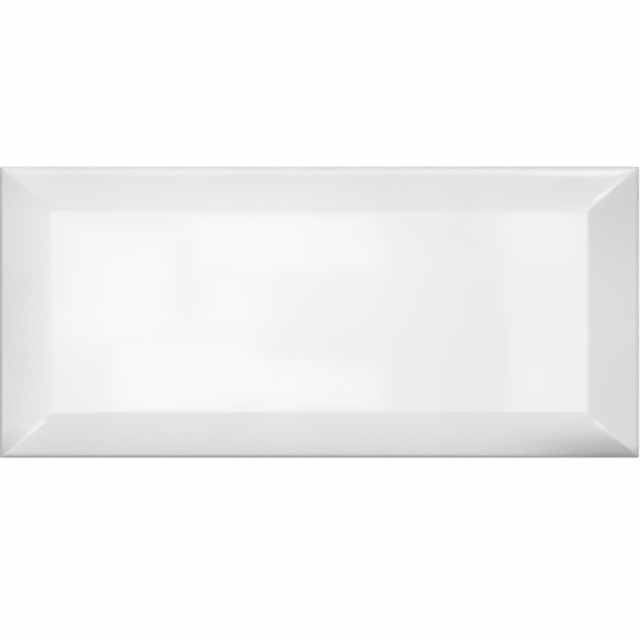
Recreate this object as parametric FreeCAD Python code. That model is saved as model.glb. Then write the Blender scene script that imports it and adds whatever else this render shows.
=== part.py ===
import FreeCAD, Part
import math
import os

from FreeCAD import Vector

# Bevelled wall tile, dust-pressed and fired as one piece, lying on its back with the glazed face up.
# Millimetres. X runs along the tile, Y across it, Z out of the glazed face.
# The origin is the middle of the back, on the plane that beds into the adhesive.

# Outline
tile_length = 200.0
tile_width = 91.2
tile_thickness = 8.0  # back plane to flat field

# Pressed face: a flat field inside four mitred bevels
end_bevel = 16.2  # plan width of the bevel at each short end
side_bevel = 14.0  # plan width of the bevel along each long side
rim_height = 5.0  # height at which a bevel would meet the side wall if the shoulder were sharp
shoulder_radius = 2.2  # rolled edge between bevel and side wall
ridge_radius = 8.0  # soft crease between bevel and field
bevel_crown = 0.16  # how far the middle of a bevel swells above a flat one

# Die box
corner_radius = 0.5  # upright corners, seen from above
back_chamfer = 0.6  # relieved edge all round the back

# Keys pressed into the back, which the adhesive grips
key_border = 7.0  # plain land between the chamfer's edge and the keys
key_rib = 2.4  # land between two keys
key_size = 10.0  # aimed-at side of a key; the real one fills the span evenly
key_depth = 0.7
key_wall_angle = 50.0  # slope of a key's walls above the back plane, in degrees


def arc_about(centre, start, end):
    """Arc from one point to another about a centre, the short way round."""
    radius = (start - centre).Length
    middle = centre + (start + end - centre * 2).normalize() * radius
    return Part.Arc(start, middle, end).toShape()


def bevel_arcs(edge, bevel):
    """The three arcs of one bevel, each running smoothly into the next: the roll of the shoulder, which
    starts on the side wall, the long slow sweep of the bevel and the crease, which ends on the field."""
    rise = tile_thickness - rim_height
    chord = math.hypot(bevel, rise)
    outward = Vector(rise, 0, bevel) / chord
    sweep_radius = chord**2 / (8 * bevel_crown) + bevel_crown / 2
    chord_middle = Vector(edge - bevel / 2, 0, rim_height + rise / 2)
    sweep_centre = chord_middle - outward * (sweep_radius - bevel_crown)

    roll_x = edge - shoulder_radius
    roll_reach = math.sqrt((sweep_radius - shoulder_radius) ** 2 - (roll_x - sweep_centre.x) ** 2)
    roll_centre = Vector(roll_x, 0, sweep_centre.z + roll_reach)
    crease_z = tile_thickness - ridge_radius
    crease_reach = math.sqrt((sweep_radius - ridge_radius) ** 2 - (crease_z - sweep_centre.z) ** 2)
    crease_centre = Vector(sweep_centre.x + crease_reach, 0, crease_z)

    roll_start = roll_centre + Vector(shoulder_radius, 0, 0)
    roll_end = sweep_centre + (roll_centre - sweep_centre).normalize() * sweep_radius
    crease_start = sweep_centre + (crease_centre - sweep_centre).normalize() * sweep_radius
    crease_end = crease_centre + Vector(0, 0, ridge_radius)
    arcs = [
        arc_about(roll_centre, roll_start, roll_end),
        arc_about(sweep_centre, roll_end, crease_start),
        arc_about(crease_centre, crease_start, crease_end),
    ]
    return roll_start, arcs, crease_end


def pressed_section(span, bevel):
    """Right half of a section through the tile, from the middle of the back to the middle of the face,
    as the edges that the punch and the die box give it. The section's plane is X and Z."""
    edge = span / 2
    back_middle = Vector(0, 0, 0)
    chamfer_foot = Vector(edge - back_chamfer, 0, 0)
    chamfer_top = Vector(edge, 0, back_chamfer)
    face_middle = Vector(0, 0, tile_thickness)
    wall_top, arcs, field_edge = bevel_arcs(edge, bevel)
    return [
        Part.LineSegment(back_middle, chamfer_foot).toShape(),
        Part.LineSegment(chamfer_foot, chamfer_top).toShape(),
        Part.LineSegment(chamfer_top, wall_top).toShape(),
        *arcs,
        Part.LineSegment(field_edge, face_middle).toShape(),
    ]


def pressed_bar(span, bevel, length):
    """Bar with the tile's section across X, centred on the origin and drawn out along Y."""
    right = pressed_section(span, bevel)
    middle_plane = Vector(1, 0, 0)
    left = [edge.mirror(Vector(0, 0, 0), middle_plane) for edge in right]
    outline = Part.Wire(Part.__sortEdges__(right + left))
    bar = Part.Face(outline).extrude(Vector(0, length, 0))
    bar.translate(Vector(0, -length / 2, 0))
    return bar


def die_box():
    """Upright block with the tile's outline and its rounded corners."""
    block = Part.makeBox(
        tile_length, tile_width, tile_thickness, Vector(-tile_length / 2, -tile_width / 2, 0)
    )
    uprights = [edge for edge in block.Edges if edge.Vertexes[0].Z != edge.Vertexes[1].Z]
    return block.makeFillet(corner_radius, uprights)


def key_row(span):
    """Centres and side of the keys that fill one direction of the back."""
    keyed = span - 2 * (back_chamfer + key_border)
    count = max(1, round((keyed + key_rib) / (key_size + key_rib)))
    side = (keyed - (count - 1) * key_rib) / count
    pitch = side + key_rib
    return [(i - (count - 1) / 2) * pitch for i in range(count)], side


def back_key(long, wide):
    """One shallow pocket with sloping walls, its mouth on the back plane and its middle on the origin."""
    slope = key_depth / math.tan(math.radians(key_wall_angle))
    mouth_x, mouth_z = long / 2, wide / 2
    floor_x, floor_z = mouth_x - slope, mouth_z - slope
    key = Part.makeWedge(
        -mouth_x, 0, -mouth_z, -floor_z, -floor_x, mouth_x, key_depth, mouth_z, floor_z, floor_x
    )
    key.rotate(Vector(0, 0, 0), Vector(1, 0, 0), 90)  # a wedge narrows along Y, a key along Z
    return key


def back_keys():
    """The keys in an even grid over the back."""
    columns, key_long = key_row(tile_length)
    rows, key_wide = key_row(tile_width)
    key = back_key(key_long, key_wide)
    return [key.translated(Vector(x, y, 0)) for x in columns for y in rows]


def wall_tile():
    """The tile: what the die box and the punch's two crossing sections share, less the keys."""
    lengthwise = pressed_bar(tile_length, end_bevel, tile_width)
    crosswise = pressed_bar(tile_width, side_bevel, tile_length)
    crosswise.rotate(Vector(0, 0, 0), Vector(0, 0, 1), 90)
    pressed = die_box().common(lengthwise).common(crosswise)
    return pressed.cut(back_keys()).removeSplitter()


tile = wall_tile()
os.makedirs("parts", exist_ok=True)
tile.exportStep("parts/wall_tile.step")
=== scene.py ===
import math

import bpy
import numpy as np
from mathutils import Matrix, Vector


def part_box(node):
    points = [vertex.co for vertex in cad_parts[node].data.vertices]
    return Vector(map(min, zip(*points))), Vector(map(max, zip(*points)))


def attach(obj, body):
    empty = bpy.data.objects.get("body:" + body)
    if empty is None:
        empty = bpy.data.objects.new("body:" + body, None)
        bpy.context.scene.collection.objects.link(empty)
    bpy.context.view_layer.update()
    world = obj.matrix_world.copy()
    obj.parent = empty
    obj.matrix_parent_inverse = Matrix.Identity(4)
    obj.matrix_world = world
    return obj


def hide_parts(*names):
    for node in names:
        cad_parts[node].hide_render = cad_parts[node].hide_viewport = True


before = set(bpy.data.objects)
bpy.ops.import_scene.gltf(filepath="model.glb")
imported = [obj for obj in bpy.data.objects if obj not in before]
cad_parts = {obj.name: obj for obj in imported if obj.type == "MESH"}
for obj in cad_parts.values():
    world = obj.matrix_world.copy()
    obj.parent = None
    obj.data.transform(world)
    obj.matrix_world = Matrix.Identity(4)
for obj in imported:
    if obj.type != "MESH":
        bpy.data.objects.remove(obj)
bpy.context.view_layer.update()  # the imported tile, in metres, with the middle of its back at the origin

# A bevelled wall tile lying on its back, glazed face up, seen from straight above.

tileLow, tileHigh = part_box("wall_tile")
tileSize = tileHigh - tileLow
tileLength, tileWidth, tileThickness = tileSize
mm = 0.001

scene = bpy.context.scene
scene.view_settings.view_transform = "Standard"
print("frame loaded, tile", [round(side / mm, 2) for side in tileSize], "mm")


# shape

tileSetup = {
    # pressed face
    "endBevel": 16.2 * mm,  # plan width of the bevel at each short end
    "sideBevel": 14.0 * mm,  # and along each long side
    "rimHeight": 5.0 * mm,  # where a bevel would meet the wall if the shoulder were sharp
    "shoulderRadius": 2.2 * mm,  # rolled edge between bevel and wall
    "ridgeRadius": 8.0 * mm,  # soft crease between bevel and field
    "bevelCrown": 0.16 * mm,  # how far the middle of a bevel swells above a flat one
    "cornerRadius": 0.5 * mm,  # upright corners
    "hipRounding": 0.56 * mm,  # height over which the glaze rounds a mitre off
    "hipFade": 0.34 * mm,  # depth below the field at which that rounding is full
    "rollSteps": 9,  # mesh lines across the shoulder
    "bevelSteps": 34,  # across the bevel
    "creaseSteps": 6,  # across the crease
    "fieldGap": 1.0 * mm,  # between the lines of the field
    "sharpEdge": math.radians(35),  # an edge that turns by more is shaded sharp

    # slow waves of the glaze, which never sets quite flat
    "waveCount": 26,
    "shortestWave": 8.0 * mm,
    "longestWave": 48.0 * mm,
    "waveSlope": 0.0009,  # steepness of all the waves together, as rise over run
    "waveSeed": 21,

    # painted shade: the glaze's colour greys over the shoulder, on the near bevel and at the corners
    "rimShadeFullTo": 0.25 * mm,  # in from the edge
    "rimShadeGoneBy": 1.15 * mm,
    "rimShadeWallFade": 0.9 * mm,  # down the wall
    "rimShadeLeft": 1.0,  # share on each edge
    "rimShadeNear": 0.9,
    "rimShadeRight": 0.0,
    "rimShadeFar": 0.25,  # at its right end alone
    "rimShadeFarStart": 8.0 * mm,
    "rimShadeFarRun": 40.0 * mm,
    "smokeShare": 1.0,  # painted shade on the near bevel, growing towards the right end
    "smokeStart": 48.0 * mm,
    "smokeRun": 46.0 * mm,
    "smokeReach": 12.5 * mm,
    "shadedCorners": {  # painted shade at the ends of the short bevels: share, and reach along the edge
        "nearLeft": (0.55, 11.0 * mm),
        "farLeft": (0.23, 17.0 * mm),
        "nearRight": (0.9, 5.0 * mm),
        "farRight": (0.29, 46.0 * mm),
    },

    # keys in the back that the adhesive grips
    "keyBorder": 7.0 * mm,  # plain land from the chamfer to the first key
    "keyRib": 2.4 * mm,
    "keySide": 10.0 * mm,  # aimed at; the real side fills the span evenly
    "keyDepth": 0.7 * mm,
    "keyWallAngle": math.radians(50.0),
    "keyWallSteps": 4,
    "backCornerSteps": 4,
    "backGap": 2.6 * mm,  # widest between the lines of the back

    # side wall
    "backChamfer": 0.6 * mm,  # relieved edge round the back
    "chamferRounding": 0.14 * mm,
    "chamferTrim": 0.3,  # share of that rounding that comes off the edge itself
    "drawZone": 4.0 * mm,  # how far in from the edge the mesh lines are drawn in to suit the chamfer
    "wallGap": 0.02 * mm,  # least drop from the rim to the wall's first row
    "wallSteps": 13,

    # edge of the glaze on the side wall
    "glazeLine": 1.95 * mm,  # height above the back at which the glaze stops
    "glazeWander": 0.3 * mm,
    "glazeSwirls": (5, 11, 17, 31, 53, 83),  # waves of that line in one trip round the tile
    "swirlSpread": (0.3, 1.0),
    "dripCount": 16,
    "dripLength": 0.75 * mm,
    "dripLengthSpread": (0.3, 1.0),
    "dripWidth": 1.7 * mm,
    "dripWidthSpread": (0.7, 1.4),
    "dripSeed": 8,
    "glazeThick": 0.14 * mm,  # how far the bare body lies behind the glaze
    "glazeLip": 0.35 * mm,  # height over which the glaze feathers out
    "glazeEdge": (0.4, 0.6),  # cover at which the body ends and the glaze is whole
    "raggedSize": 0.7 * mm,
    "ragged": 0.5,  # how far the edge frays

    # glaze
    "glazeWhite": (0.838, 0.844, 0.858, 1),
    "glazeCloud": (0.812, 0.820, 0.836, 1),  # where the melt lies a little thicker
    "cloudSize": 38 * mm,
    "cloudSpan": (0.35, 0.7),  # of the noise, from none to all
    "paintedShadeColour": (0.48, 0.482, 0.49, 1),  # painted shade over the shoulders, corners and near bevel
    "glazeRoughness": 0.035,
    "peelSize": 3.2 * mm,
    "peelDepth": 0.002 * mm,
    "refraction": 1.52,

    # bare fired body
    "bodyCream": (0.66, 0.585, 0.49, 1),
    "bodyPale": (0.76, 0.70, 0.61, 1),
    "blotchSize": 30 * mm,
    "blotchSpan": (0.35, 0.7),
    "bodyGrit": (0.47, 0.40, 0.33, 1),
    "gritSize": 0.9 * mm,
    "gritSpan": (0.6, 0.72),
    "gritShare": 0.5,
    "kilnWash": (0.80, 0.79, 0.76, 1),  # white wash left on the ribs
    "washSize": 6 * mm,
    "washSpan": (0.45, 0.65),
    "washShare": 0.55,
    "grainSize": 0.5 * mm,
    "grainDepth": 0.05 * mm,
    "bodyRoughness": 0.88,
}


def bevelArcs(bevel):
    # centres of the three tangent arcs across one bevel, as distance in from the edge and height:
    # the shoulder's roll, the long flat arc of the bevel itself, and the crease at the field
    rise = tileThickness - tileSetup["rimHeight"]
    chord = math.hypot(bevel, rise)
    crown = tileSetup["bevelCrown"]
    sweep = chord**2 / (8 * crown) + crown / 2
    drop = (sweep - crown) / chord
    sweepIn = bevel / 2 + rise * drop
    sweepUp = tileSetup["rimHeight"] + rise / 2 - bevel * drop
    roll, crease = tileSetup["shoulderRadius"], tileSetup["ridgeRadius"]
    rollUp = sweepUp + math.sqrt((sweep - roll) ** 2 - (roll - sweepIn) ** 2)
    creaseUp = tileThickness - crease
    creaseIn = sweepIn - math.sqrt((sweep - crease) ** 2 - (creaseUp - sweepUp) ** 2)
    return {
        "sweep": sweep, "sweepIn": sweepIn, "sweepUp": sweepUp, "rollUp": rollUp, "creaseIn": creaseIn,
        "rollEnd": sweepIn + (roll - sweepIn) * sweep / (sweep - roll),
        "creaseStart": sweepIn + (creaseIn - sweepIn) * sweep / (sweep - crease),
    }


def pressedHeight(inset, bevel):
    # height of the face at a distance in from one edge
    arcs = bevelArcs(bevel)
    roll, crease = tileSetup["shoulderRadius"], tileSetup["ridgeRadius"]
    rolled = arcs["rollUp"] + np.sqrt(np.maximum(roll**2 - (roll - inset) ** 2, 0))
    swept = arcs["sweepUp"] + np.sqrt(np.maximum(arcs["sweep"] ** 2 - (inset - arcs["sweepIn"]) ** 2, 0))
    creased = tileThickness - crease + np.sqrt(np.maximum(crease**2 - (arcs["creaseIn"] - inset) ** 2, 0))
    zones = [inset < arcs["rollEnd"], inset < arcs["creaseStart"], inset < arcs["creaseIn"]]
    return np.select(zones, [rolled, swept, creased], tileThickness)


def smoothStep(value):
    t = np.clip(value, 0, 1)
    return t * t * (3 - 2 * t)


def keyRow(span):
    # centres and side of the keys that fill one direction of the back
    keyed = span - 2 * (tileSetup["backChamfer"] + tileSetup["keyBorder"])
    count = max(1, round((keyed + tileSetup["keyRib"]) / (tileSetup["keySide"] + tileSetup["keyRib"])))
    side = (keyed - (count - 1) * tileSetup["keyRib"]) / count
    return (np.arange(count) - (count - 1) / 2) * (side + tileSetup["keyRib"]), side


def keySlope():
    return tileSetup["keyDepth"] / math.tan(tileSetup["keyWallAngle"])


def bothWays(fromEdge, span):
    # the same lines in from either edge, in order
    low = fromEdge - span / 2
    return np.unique(np.concatenate([low, -low]))


def faceLines(span, bevel):
    # one direction's lines on the face: as many on every bevel, so the mitres run from corner to corner
    arcs = bevelArcs(bevel)
    lastTurn = math.acos(1 - arcs["rollEnd"] / tileSetup["shoulderRadius"])
    turns = np.linspace(0, lastTurn, tileSetup["rollSteps"] + 1)
    roll = tileSetup["shoulderRadius"] * (1 - np.cos(turns))
    slope = np.linspace(arcs["rollEnd"], arcs["creaseStart"], tileSetup["bevelSteps"] + 1)
    crease = np.linspace(arcs["creaseStart"], arcs["creaseIn"], tileSetup["creaseSteps"] + 1)
    fieldHalf = span / 2 - arcs["creaseIn"]
    gaps = math.ceil(2 * fieldHalf / tileSetup["fieldGap"])
    field = np.linspace(-fieldHalf, fieldHalf, gaps + 1)
    bevels = bothWays(np.concatenate([roll, slope[1:], crease[1:-1]]), span)
    return np.sort(np.concatenate([bevels, field]))


def backLines(span):
    # one direction's lines on the back: close together at the corners and on the keys' walls
    corner = np.linspace(0, tileSetup["cornerRadius"], tileSetup["backCornerSteps"] + 1)
    centres, side = keyRow(span)
    walls = side / 2 - np.linspace(0, keySlope(), tileSetup["keyWallSteps"] + 1)
    keyLines = np.concatenate([(centres[:, None] + walls).ravel(), (centres[:, None] - walls).ravel()])
    lines = np.sort(np.concatenate([bothWays(corner, span), keyLines]))
    filled = [lines[:1]]
    for start, end in zip(lines[:-1], lines[1:]):
        pieces = math.ceil((end - start) / tileSetup["backGap"])
        filled.append(np.linspace(start, end, pieces + 1)[1:])
    return np.concatenate(filled)


def gridOf(xLines, yLines):
    # points of a grid, its squares, its outer loop,
    # and how far round the four sides each point of the loop is
    x, y = (grid.ravel() for grid in np.meshgrid(xLines, yLines, indexing="ij"))
    index = np.arange(x.size).reshape(len(xLines), len(yLines))
    corners = [index[:-1, :-1], index[1:, :-1], index[1:, 1:], index[:-1, 1:]]
    quads = np.stack([corner.ravel() for corner in corners], axis=1)
    loop = np.concatenate([index[:, 0], index[-1, 1:], index[-2::-1, -1], index[0, -2:0:-1]])
    shareX = (xLines - xLines[0]) / (xLines[-1] - xLines[0])
    shareY = (yLines - yLines[0]) / (yLines[-1] - yLines[0])
    turn = np.concatenate([shareX, 1 + shareY[1:], 3 - shareX[-2::-1], 4 - shareY[-2:0:-1]])
    return x, y, quads, loop, turn


def zipLoops(upper, upperTurn, lower, lowerTurn):
    # triangles between two loops with different numbers of points
    upper, lower = np.append(upper, upper[0]), np.append(lower, lower[0])
    upperTurn, lowerTurn = np.append(upperTurn, 4.0), np.append(lowerTurn, 4.0)  # once round is 4
    triangles = []
    i = j = 0
    while i < len(upper) - 1 or j < len(lower) - 1:
        upperNext = j == len(lower) - 1 or (i < len(upper) - 1 and upperTurn[i + 1] <= lowerTurn[j + 1])
        if upperNext:
            triangles.append((upper[i], lower[j], upper[i + 1]))
            i += 1
        else:
            triangles.append((upper[i], lower[j], lower[j + 1]))
            j += 1
    return np.array(triangles)


def drawnIn(place, half, inset):
    # moves the lines near an edge inwards by the inset, less and less further from the edge
    fromEdge = half - np.abs(place)
    pull = inset * np.clip(1 - fromEdge / tileSetup["drawZone"], 0, 1)
    return np.sign(place) * (np.abs(place) - pull)


def roundedPlan(x, y, inset):
    # the tile's outline at an inset, with its upright corners rounded
    halfX, halfY = tileLength / 2, tileWidth / 2
    x = drawnIn(x, halfX, inset)
    y = drawnIn(y, halfY, inset)
    radius = tileSetup["cornerRadius"]
    cornerX = halfX - inset - radius
    cornerY = halfY - inset - radius
    outX = np.clip((np.abs(x) - cornerX) / radius, 0, 1)
    outY = np.clip((np.abs(y) - cornerY) / radius, 0, 1)
    roundX = np.where(outX > 0, cornerX + radius * outX * np.sqrt(1 - outY**2 / 2), np.abs(x))
    roundY = np.where(outY > 0, cornerY + radius * outY * np.sqrt(1 - outX**2 / 2), np.abs(y))
    return np.sign(x) * roundX, np.sign(y) * roundY


def waveHeight(x, y):
    # slow ripples of the glaze, as crossing waves of many lengths
    rng = np.random.default_rng(tileSetup["waveSeed"])
    height = np.zeros_like(x)
    slope = tileSetup["waveSlope"] * math.sqrt(2 / tileSetup["waveCount"])
    growth = tileSetup["longestWave"] / tileSetup["shortestWave"]
    for n in range(tileSetup["waveCount"]):
        share = n / (tileSetup["waveCount"] - 1)
        length = tileSetup["shortestWave"] * growth**share
        heading, phase = rng.uniform(0, 2 * math.pi, 2)
        turn = 2 * math.pi / length
        height += slope / turn * np.sin(turn * (x * math.cos(heading) + y * math.sin(heading)) + phase)
    return height - height.max()  # so that no crest stands above the field


def faceHeight(x, y):
    endwise = pressedHeight(tileLength / 2 - np.abs(x), tileSetup["endBevel"])
    sidewise = pressedHeight(tileWidth / 2 - np.abs(y), tileSetup["sideBevel"])
    below = tileThickness - np.maximum(endwise, sidewise)
    rounding = tileSetup["hipRounding"] * smoothStep(below / tileSetup["hipFade"]) + 1e-9  # never quite 0
    nearness = np.clip(1 - np.abs(endwise - sidewise) / rounding, 0, 1)
    return np.minimum(endwise, sidewise) - rounding * nearness**2 / 4


def paintedShade(x, y):
    # how much painted shade greys the face's colour
    endward, sideward = tileLength / 2 - np.abs(x), tileWidth / 2 - np.abs(y)
    endwise = pressedHeight(endward, tileSetup["endBevel"])
    sidewise = pressedHeight(sideward, tileSetup["sideBevel"])
    onEnd = endwise < sidewise
    # painted shade over the shoulder, a share on each edge
    endShare = np.where(x < 0, tileSetup["rimShadeLeft"], tileSetup["rimShadeRight"])
    farShare = tileSetup["rimShadeFar"] * smoothStep((x - tileSetup["rimShadeFarStart"]) / tileSetup["rimShadeFarRun"])
    sideShare = np.where(y < 0, tileSetup["rimShadeNear"], farShare)
    inset = np.minimum(endward, sideward)
    rimFade = tileSetup["rimShadeGoneBy"] - tileSetup["rimShadeFullTo"]
    rim = 1 - smoothStep((inset - tileSetup["rimShadeFullTo"]) / rimFade)
    # painted shade on the near bevel, towards its right end
    smoke = smoothStep((x - tileSetup["smokeStart"]) / tileSetup["smokeRun"])
    smoke = smoke * (1 - smoothStep(sideward / tileSetup["smokeReach"])) * (y < 0) * ~onEnd
    shadeShare = np.maximum(rim * np.where(onEnd, endShare, sideShare), smoke * tileSetup["smokeShare"])
    # painted shade at the corners of the short bevels
    for name, (share, reach) in tileSetup["shadedCorners"].items():
        here = onEnd & ((y < 0) == name.startswith("near")) & ((x < 0) == name.endswith("Left"))
        shadeShare = np.maximum(shadeShare, share * (1 - smoothStep(sideward / reach)) * here)
    return shadeShare


def keyCover(x, y):
    # 0 on the ribs and the border, 1 on the floor of a key
    depths = []
    for place, span in ((x, tileLength), (y, tileWidth)):
        centres, side = keyRow(span)
        fromMiddle = np.abs(place[..., None] - centres).min(axis=-1)
        depths.append((side / 2 - fromMiddle) / keySlope())
    return smoothStep(np.minimum(*depths))


def glazeStop(along, around):
    # height at which the glaze stops, along a trip round the edge
    rng = np.random.default_rng(tileSetup["dripSeed"])
    height = np.full_like(along, tileSetup["glazeLine"])
    for swirl in tileSetup["glazeSwirls"]:
        size = tileSetup["glazeWander"] * rng.uniform(*tileSetup["swirlSpread"])
        size /= math.sqrt(len(tileSetup["glazeSwirls"]))
        height += size * np.sin(2 * math.pi * swirl * along / around + rng.uniform(0, 2 * math.pi))
    for place in rng.uniform(0, around, tileSetup["dripCount"]):
        fromDrip = np.abs((along - place + around / 2) % around - around / 2)
        reach = tileSetup["dripLength"] * rng.uniform(*tileSetup["dripLengthSpread"])
        width = tileSetup["dripWidth"] * rng.uniform(*tileSetup["dripWidthSpread"])
        height -= reach * np.exp(-((fromDrip / width) ** 2))
    return height


def wallRows(topHeight):
    # inset and height of each row from under the roll to the back, with the chamfer's two edges eased
    chamfer, ease = tileSetup["backChamfer"], tileSetup["chamferRounding"]
    trim = tileSetup["chamferTrim"] * ease
    shares = np.linspace(0, 1, tileSetup["wallSteps"] + 1)[1:]
    rows = [(0.0, topHeight + (chamfer + ease - topHeight) * share) for share in shares]
    rows.append((trim, chamfer))
    rows.append((ease, chamfer - ease))
    rows.append((chamfer - ease, ease))
    rows.append((chamfer - trim, trim))
    return rows


def wallRings(planX, planY, rimPoints, rimPaintedShade):
    # rings of points down the side wall, and on each how well it is glazed and how much painted shade it
    # carries
    rimX, rimY, rimTop = rimPoints.T
    steps = np.hypot(np.diff(rimX, append=rimX[:1]), np.diff(rimY, append=rimY[:1]))
    along = np.concatenate([[0], np.cumsum(steps)[:-1]])
    stop = glazeStop(along, steps.sum())
    rings, ringGlaze, ringPaintedShade = [], [], []
    for inset, height in wallRows(bevelArcs(tileSetup["sideBevel"])["rollUp"]):
        level = np.minimum(height, rimTop - tileSetup["wallGap"])
        glazed = smoothStep((level - stop) / tileSetup["glazeLip"] + 0.5)
        setBack = np.maximum(inset, tileSetup["glazeThick"] * (1 - glazed))
        rings.append(np.stack([*roundedPlan(planX, planY, setBack), level], axis=1))
        ringGlaze.append(glazed)
        # painted shade of the shoulder, fading down the wall
        ringPaintedShade.append(rimPaintedShade * (1 - smoothStep((rimTop - level) / tileSetup["rimShadeWallFade"])))
    return rings, ringGlaze, ringPaintedShade


def ringQuads(rim, ringCount, firstPoint):
    # squares from the rim down from ring to ring, and the lowest ring
    quads = []
    upper = rim
    for n in range(ringCount):
        lower = firstPoint + n * len(rim) + np.arange(len(rim))
        quads.append(np.stack([upper, lower, np.roll(lower, -1), np.roll(upper, -1)], axis=1))
        upper = lower
    return np.concatenate(quads), upper


def buildTile():
    faceX, faceY, faceQuads, rim, rimTurn = gridOf(
        faceLines(tileLength, tileSetup["endBevel"]), faceLines(tileWidth, tileSetup["sideBevel"])
    )
    faceUp = faceHeight(faceX, faceY) + waveHeight(faceX, faceY)
    face = np.stack([*roundedPlan(faceX, faceY, 0.0), faceUp], axis=1)
    facePaintedShade = paintedShade(faceX, faceY)
    rings, ringGlaze, ringPaintedShade = wallRings(faceX[rim], faceY[rim], face[rim], facePaintedShade[rim])
    backX, backY, backQuads, backRim, backTurn = gridOf(backLines(tileLength), backLines(tileWidth))
    backX, backY = roundedPlan(backX, backY, tileSetup["backChamfer"])
    keyed = keyCover(backX, backY)
    back = np.stack([backX, backY, tileSetup["keyDepth"] * keyed], axis=1)

    points = np.concatenate([face, *rings, back])
    backStart = len(points) - len(back)
    wallQuads, lowestRing = ringQuads(rim, len(rings), len(face))
    quads = np.concatenate([faceQuads, backQuads[:, ::-1] + backStart, wallQuads])
    triangles = zipLoops(lowestRing, rimTurn, backRim + backStart, backTurn)
    covers = {
        "glazeCover": np.concatenate([np.ones(len(face)), *ringGlaze, np.zeros(len(back))]),
        "paintedShadeCover": np.concatenate([facePaintedShade, *ringPaintedShade, np.zeros(len(back))]),
        "keyCover": np.concatenate([np.zeros(backStart), keyed]),
    }

    mesh = bpy.data.meshes.new("glazedTile")
    mesh.from_pydata(points.tolist(), [], quads.tolist() + triangles.tolist())
    for name, values in covers.items():
        mesh.attributes.new(name, "FLOAT", "POINT").data.foreach_set("value", values.astype(np.float32))
    mesh.shade_smooth()
    mesh.set_sharp_from_angle(angle=tileSetup["sharpEdge"])
    mesh.validate()
    tile = bpy.data.objects.new("glazed_tile", mesh)
    scene.collection.objects.link(tile)
    print("tile meshed,", len(points), "points,", 2 * len(quads) + len(triangles), "triangles")
    return tile


# finish

class Wire:  # an output socket that Python sums can use
    def __init__(self, bench, socket):
        self.bench = bench
        self.socket = socket

    def __add__(self, other):
        return self.bench.maths("ADD", self, other)

    def __sub__(self, other):
        return self.bench.maths("SUBTRACT", self, other)

    def __rsub__(self, other):
        return self.bench.maths("SUBTRACT", other, self)

    def __mul__(self, other):
        return self.bench.maths("MULTIPLY", self, other)

    __radd__ = __add__
    __rmul__ = __mul__


class Bench:  # a node tree to work on
    def __init__(self, tree):
        self.tree = tree
        tree.nodes.clear()

    def node(self, kind, settings=None, sockets=None, output=0):
        made = self.tree.nodes.new(kind)
        for name, value in (settings or {}).items():
            setattr(made, name, value)
        for name, value in (sockets or {}).items():
            if isinstance(value, Wire):
                self.tree.links.new(value.socket, made.inputs[name])
            else:
                made.inputs[name].default_value = value
        return Wire(self, made.outputs[output]) if made.outputs else None

    def maths(self, operation, first, second=0.0, limit=False):
        settings = {"operation": operation, "use_clamp": limit}
        return self.node("ShaderNodeMath", settings, {0: first, 1: second})

    def between(self, value, low, high):  # 0 at low, 1 at high, eased
        settings = {"interpolation_type": "SMOOTHSTEP"}
        return self.node("ShaderNodeMapRange", settings, {0: value, 1: low, 2: high})

    def blend(self, share, first, second):  # colours
        return self.node("ShaderNodeMix", {"data_type": "RGBA"}, {0: share, 6: first, 7: second}, 2)

    def noise(self, place, size, detail=3.0, rough=0.5):
        sockets = {"Vector": place, "Scale": 1 / size, "Detail": detail, "Roughness": rough}
        return self.node("ShaderNodeTexNoise", {}, sockets)

    def cover(self, name):  # a share kept on the mesh's points
        return self.node("ShaderNodeAttribute", {"attribute_name": name}, output="Fac")


def glazeAndBiscuit():
    material = bpy.data.materials.new("glazeAndBiscuit")
    material.use_nodes = True
    bench = Bench(material.node_tree)
    place = bench.node("ShaderNodeTexCoord", output="Object")

    ragged = bench.noise(place, tileSetup["raggedSize"], detail=2.0) - 0.5
    glazed = bench.cover("glazeCover") + ragged * tileSetup["ragged"]
    glazed = bench.between(glazed, *tileSetup["glazeEdge"])

    cloud = bench.noise(place, tileSetup["cloudSize"], detail=2.0)
    cloud = bench.between(cloud, *tileSetup["cloudSpan"])
    glaze = bench.blend(cloud, tileSetup["glazeWhite"], tileSetup["glazeCloud"])
    # painted shade greys the glaze
    glaze = bench.blend(bench.cover("paintedShadeCover"), glaze, tileSetup["paintedShadeColour"])

    blotch = bench.noise(place, tileSetup["blotchSize"], detail=4.0)
    blotch = bench.between(blotch, *tileSetup["blotchSpan"])
    grit = bench.noise(place, tileSetup["gritSize"], rough=0.7)
    grit = bench.between(grit, *tileSetup["gritSpan"])
    wash = bench.noise(place, tileSetup["washSize"], detail=5.0, rough=0.65)
    wash = bench.between(wash, *tileSetup["washSpan"]) * (1 - bench.cover("keyCover"))
    body = bench.blend(blotch, tileSetup["bodyCream"], tileSetup["bodyPale"])
    body = bench.blend(wash * tileSetup["washShare"], body, tileSetup["kilnWash"])
    body = bench.blend(grit * tileSetup["gritShare"], body, tileSetup["bodyGrit"])

    peel = bench.noise(place, tileSetup["peelSize"], detail=2.0)
    grain = bench.noise(place, tileSetup["grainSize"], detail=4.0, rough=0.6)
    relief = peel * tileSetup["peelDepth"] * glazed + grain * tileSetup["grainDepth"] * (1 - glazed)
    polish = tileSetup["bodyRoughness"] - tileSetup["glazeRoughness"]
    shader = bench.node("ShaderNodeBsdfPrincipled", {}, {
        "Base Color": bench.blend(glazed, body, glaze),
        "Roughness": tileSetup["bodyRoughness"] - glazed * polish,
        "IOR": tileSetup["refraction"],
        "Normal": bench.node("ShaderNodeBump", {}, {"Height": relief, "Distance": 1.0}),
    })
    bench.node("ShaderNodeOutputMaterial", {}, {"Surface": shader})
    return material


tile = buildTile()
tile.data.materials.append(glazeAndBiscuit())
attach(tile, "root")
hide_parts("wall_tile")
print("tile finished in glaze and biscuit")


# studio

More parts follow.
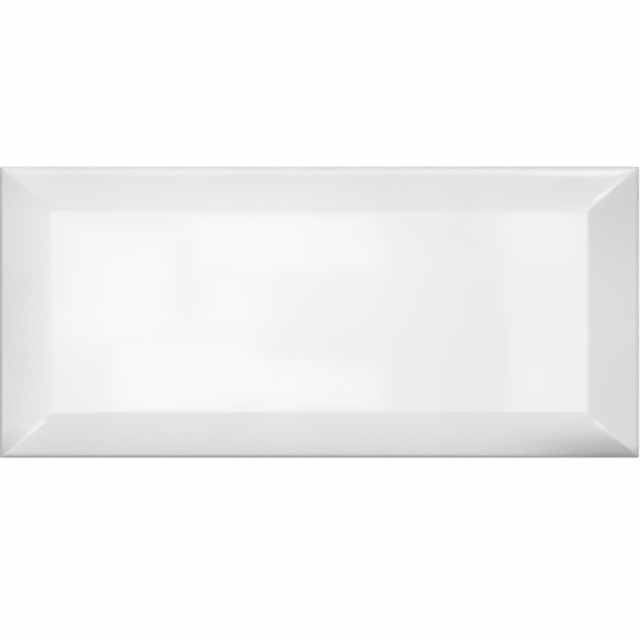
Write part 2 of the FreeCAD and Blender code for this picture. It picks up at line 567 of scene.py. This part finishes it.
studioLight = {
    "lampColour": (1.0, 0.964, 0.930),
    "glowColour": (0.93, 0.972, 1.0),
    "roomColour": (0.92, 0.965, 1.0, 1),
    "ambient": 0.037,
    "farSide": 0.85,  # at the horizon on the far side, where the room is brightest
    "lamps": {  # centre, size, radiance, share of each side over which it fades, tip in degrees
        "overhead": ((-0.05, 0.0, 1.66), (2.4, 2.4), 1.3, (0.5, 0.5)),
        "core": ((-0.13, 0.02, 1.68), (1.1, 1.1), 3.1, (0.5, 0.5)),
        "upperLeftPane": ((-0.160, 0.028, 1.6), (0.096, 0.096), 0.95, (0.12, 0.12)),
        "upperMiddlePane": ((-0.029, 0.060, 1.6), (0.164, 0.054), 1.25, (0.08, 0.2)),
        "middlePane": ((-0.070, 0.0145, 1.59), (0.066, 0.058), 0.85, (0.16, 0.2)),
        "lowerPane": ((-0.107, -0.045, 1.6), (0.124, 0.064), 1.1, (0.1, 0.16)),
        "lowerRightPane": ((0.0005, -0.055, 1.59), (0.116, 0.05), 1.35, (0.1, 0.24)),
        "rightPane": ((0.32, 0.0, 1.6), (0.36, 0.3), 1.5, (0.05, 0.1)),
        "strip": ((0.05, 1.118, 1.145), (1.5, 0.78), 1.9, (0.35, 0.03), (-44.3, 0.0, 0.0)),
        "stripEnd": ((0.33, 0.90, 1.29), (0.36, 0.25), 1.4, (0.17, 0.1), (-34.9, 0.0, 0.0)),
        "under": ((-0.3, 0.75, -1.0), (1.4, 1.4), 10.0, (0.5, 0.5), (217.0, 0.0, 0.0)),  # for the back
    },
    "glows": {  # the same for the light that comes back from the room
        "farGlow": ((-0.08, 0.69, 1.70), (0.62, 1.0), 1.75, (0.5, 0.5)),
        "leftGlow": ((-0.69, -0.05, 1.74), (0.95, 1.0), 2.3, (0.5, 0.5)),
        "nearGlow": ((0.0, -0.73, 1.70), (1.3, 1.0), 1.85, (0.5, 0.5)),
        "nearLeftGlow": ((-0.48, -0.48, 1.78), (0.6, 0.6), 4.2, (0.5, 0.5)),
        "nearRightGlow": ((0.48, -0.53, 1.78), (0.45, 0.45), 3.6, (0.5, 0.5)),
        "farRightGlow": ((0.40, 0.58, 1.78), (0.62, 0.62), 3.3, (0.5, 0.5)),
    },
    "windows": {  # round the room, apart from the far side, where the strip is
        "turns": np.linspace(45, 315, 13),  # degrees from the far side
        "distance": 1.6,
        "polar": 55.0,  # degrees from straight up
        "size": (0.42, 0.62),
        "radiance": 0.83,
        "feather": (0.05, 0.035),
        "bars": (0.03, 0.042),  # half a bar, and where the pane is clear, as shares of each side
    },
}

floorLook = {
    "side": 8.0,
    "colour": (0.75, 0.75, 0.75, 1),
    "backdropShare": 0.98,  # how much of the floor is plain white backdrop to the camera
    "opening": 0.8 * mm,  # the floor stops this far inside the outline, so that the back shows from below
    "drop": 0.02 * mm,  # keeps the floor off the plane of the ribs
}


def seenShare(bench):
    # 1 for the rays that see the backdrop, 0 for those that carry light between surfaces
    rays = bench.node("ShaderNodeLightPath", output="Is Camera Ray")
    lightPath = rays.socket.node
    glossy = Wire(bench, lightPath.outputs["Is Glossy Ray"])
    through = Wire(bench, lightPath.outputs["Is Transmission Ray"])
    return bench.maths("ADD", rays + glossy, through, limit=True)


def softbox(name, colour, centre, size, radiance, feather, tip=(0.0, 0.0, 0.0), bars=None):
    lamp = bpy.data.lights.new(name, "AREA")
    lamp.shape = "RECTANGLE"
    lamp.size, lamp.size_y = size
    lamp.energy = math.pi * radiance * size[0] * size[1]  # the watts that give that radiance
    lamp.color = colour
    lamp.use_nodes = True
    bench = Bench(lamp.node_tree)
    across = bench.node("ShaderNodeNewGeometry", output="Parametric")
    parts = bench.node("ShaderNodeSeparateXYZ", {}, {0: across}).socket.node
    glow = 1
    for side, fade in zip("XY", feather):
        way = Wire(bench, parts.outputs[side])
        glow = bench.between(way, 0, fade) * bench.between(1 - way, 0, fade) * glow
        if bars:
            glow = bench.between(bench.maths("ABSOLUTE", way - 0.5), *bars) * glow
    dark = bench.node("ShaderNodeEmission", {}, {"Strength": 0.0})
    bright = bench.node("ShaderNodeEmission", {}, {"Strength": 1.0})
    shown = bench.node("ShaderNodeMixShader", {}, {0: glow, 1: dark, 2: bright})
    bench.node("ShaderNodeOutputLight", {}, {"Surface": shown})
    fixture = bpy.data.objects.new(name, lamp)
    fixture.location = centre
    fixture.rotation_euler = [math.radians(turn) for turn in tip]
    fixture.visible_camera = False
    scene.collection.objects.link(fixture)


def hangLamps():
    for name, settings in studioLight["lamps"].items():
        softbox(name, studioLight["lampColour"], *settings)
    for name, settings in studioLight["glows"].items():
        softbox(name, studioLight["glowColour"], *settings)


def hangWindows():
    window = studioLight["windows"]
    out = window["distance"] * math.sin(math.radians(window["polar"]))
    up = window["distance"] * math.cos(math.radians(window["polar"]))
    for turn in window["turns"]:
        centre = (-out * math.sin(math.radians(turn)), out * math.cos(math.radians(turn)), up)
        tip = (-window["polar"], 0.0, turn)
        pane = (window["size"], window["radiance"], window["feather"], tip, window["bars"])
        softbox(f"window{turn:.0f}", studioLight["glowColour"], centre, *pane)


def lightRoom():
    world = bpy.data.worlds.new("studio")
    world.use_nodes = True
    scene.world = world
    bench = Bench(world.node_tree)
    heading = bench.node("ShaderNodeTexCoord", output="Generated")
    farward = bench.maths("MAXIMUM", bench.node("ShaderNodeSeparateXYZ", {}, {0: heading}, "Y"), 0.0)
    room = []
    for side in ("ambient", "farSide"):
        glow = {"Color": studioLight["roomColour"], "Strength": studioLight[side]}
        room.append(bench.node("ShaderNodeBackground", {}, glow))
    ambient = bench.node("ShaderNodeMixShader", {}, {0: farward * farward, 1: room[0], 2: room[1]})
    white = bench.node("ShaderNodeBackground", {}, {"Color": (1, 1, 1, 1), "Strength": 1.0})
    shown = bench.node("ShaderNodeMixShader", {}, {0: seenShare(bench), 1: ambient, 2: white})
    bench.node("ShaderNodeOutputWorld", {}, {"Surface": shown})


def layFloor():
    half = floorLook["side"] / 2
    openLong = tileLength / 2 - floorLook["opening"]
    openWide = tileWidth / 2 - floorLook["opening"]
    corners = []
    for long, wide in ((half, half), (openLong, openWide)):
        corners += [(-long, -wide, 0), (long, -wide, 0), (long, wide, 0), (-long, wide, 0)]
    ring = [(i, (i + 1) % 4, (i + 1) % 4 + 4, i + 4) for i in range(4)]
    mesh = bpy.data.meshes.new("floor")
    mesh.from_pydata(corners, [], ring)
    floor = bpy.data.objects.new("floor", mesh)
    floor.location.z = tileLow.z - floorLook["drop"]
    scene.collection.objects.link(floor)
    material = bpy.data.materials.new("paleFloor")
    material.use_nodes = True
    bench = Bench(material.node_tree)
    matt = bench.node("ShaderNodeBsdfDiffuse", {}, {"Color": floorLook["colour"]})
    white = bench.node("ShaderNodeEmission", {}, {"Color": (1, 1, 1, 1), "Strength": 1.0})
    share = seenShare(bench) * floorLook["backdropShare"]
    shown = bench.node("ShaderNodeMixShader", {}, {0: share, 1: matt, 2: white})
    fromBelow = bench.node("ShaderNodeNewGeometry", output="Backfacing")
    fromBelow = fromBelow * bench.node("ShaderNodeLightPath", output="Is Camera Ray")
    clear = bench.node("ShaderNodeBsdfTransparent")
    shown = bench.node("ShaderNodeMixShader", {}, {0: fromBelow, 1: shown, 2: clear})
    bench.node("ShaderNodeOutputMaterial", {}, {"Surface": shown})
    mesh.materials.append(material)


hangLamps()
hangWindows()
lightRoom()
layFloor()
print("studio lit")


# camera

cameraSetup = {
    "height": 1.0,  # above the tile's rim
    "sensor": 36.0,  # in millimetres, as the lens
    "frameSide": 640.0,  # pixels
    "tileLeft": 0.0,  # edges of the tile in that frame, in pixels from its top left corner
    "tileRight": 639.0,
    "tileTop": 166.46,
    "tileBottom": 457.81,
}


def placeCamera():
    frameSide = cameraSetup["frameSide"]
    perPixel = tileLength / (cameraSetup["tileRight"] - cameraSetup["tileLeft"])
    shiftX = (frameSide - cameraSetup["tileLeft"] - cameraSetup["tileRight"]) / 2 * perPixel
    shiftY = (cameraSetup["tileTop"] + cameraSetup["tileBottom"] - frameSide) / 2 * perPixel
    lens = bpy.data.cameras.new("camera")
    lens.sensor_width = cameraSetup["sensor"]
    lens.lens = cameraSetup["sensor"] * cameraSetup["height"] / (frameSide * perPixel)
    camera = bpy.data.objects.new("camera", lens)
    middle = (tileLow + tileHigh) / 2
    rimLevel = bevelArcs(tileSetup["sideBevel"])["rollUp"]
    camera.location = (middle.x + shiftX, middle.y + shiftY, rimLevel + cameraSetup["height"])
    scene.collection.objects.link(camera)
    scene.camera = camera


placeCamera()
print("camera placed")
